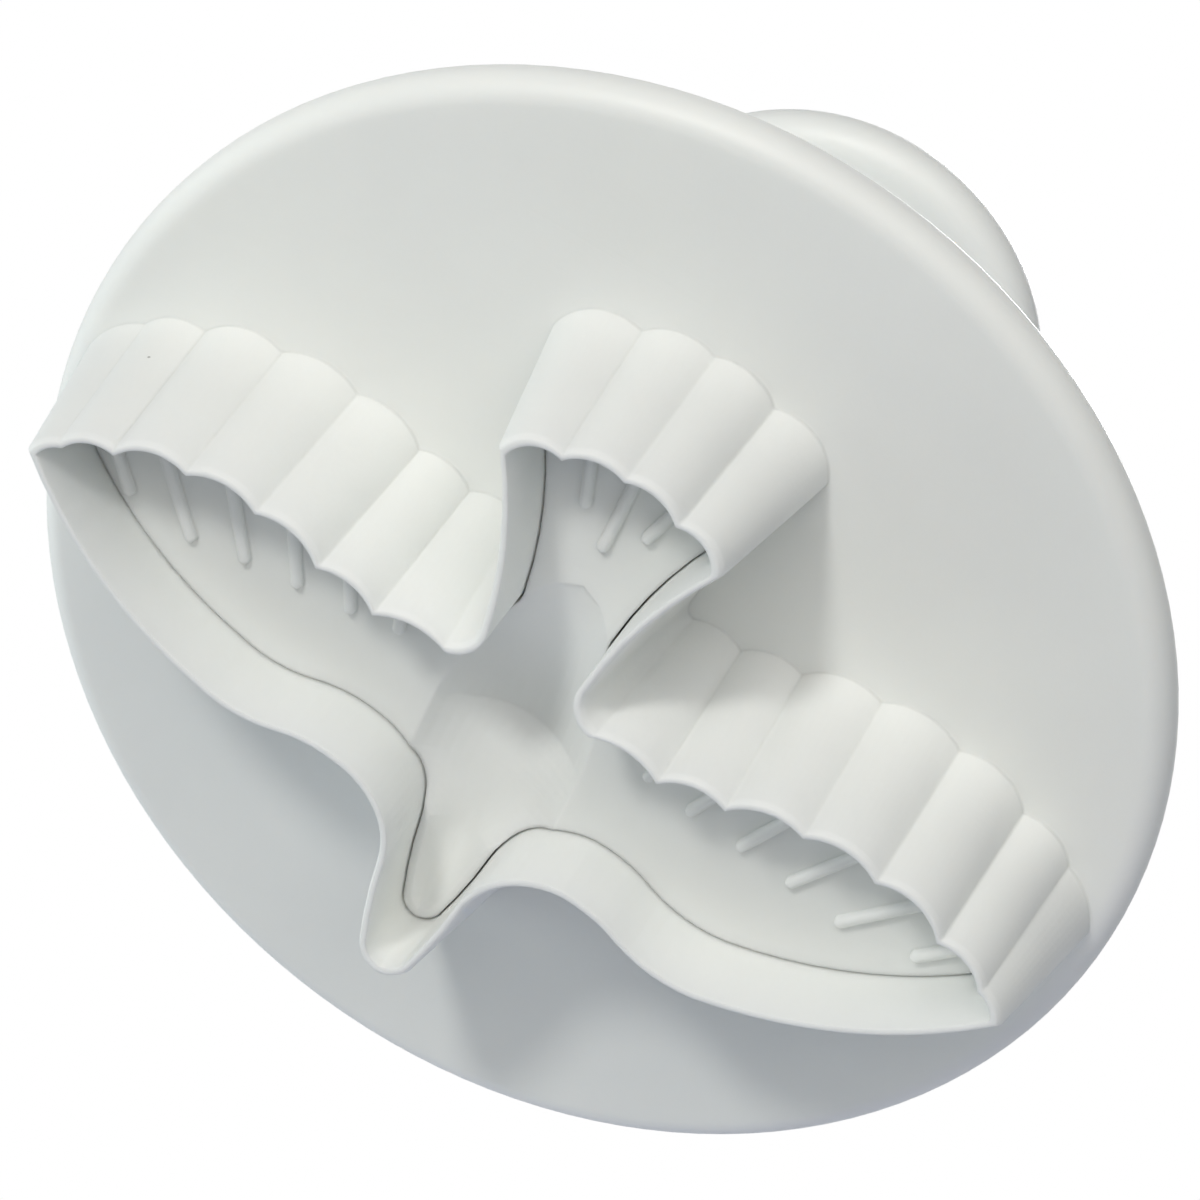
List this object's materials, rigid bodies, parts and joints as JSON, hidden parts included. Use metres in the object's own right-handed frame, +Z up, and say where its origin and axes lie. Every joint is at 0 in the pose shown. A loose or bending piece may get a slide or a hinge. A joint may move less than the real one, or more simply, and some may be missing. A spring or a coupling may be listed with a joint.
{
  "type": "plunger cutter",
  "caption": "Plunger cutter that stamps a flying dove out of rolled icing, embosses it and pushes it out with a sprung knob.",
  "frame": {"origin": "centre of the flange, in the plane of the cutting edge on which the cutter stands", "axes": "+Z up along the plunger to the knob, +Y to the dove's tail, +X to the wing at the dove's side"},
  "size_m": [0.05, 0.05, 0.0425],
  "materials": {
    "white_plastic": "satin",
    "spring_steel": "bright drawn wire"
  },
  "bodies": {
    "cutter_body": {"cutter": "white_plastic", "return_spring": "spring_steel"},
    "plunger": {"embossing_plate": "white_plastic", "knob": "white_plastic"}
  },
  "joints": [
    {"name": "plunger_slide", "type": "slide", "parent": "cutter_body", "child": "plunger", "axis": [0, 0, -1], "range_m": [0, 0.006], "stiffness_N_per_m": 400, "springref_m": -0.004, "deforming": ["return_spring"]}
  ]
}
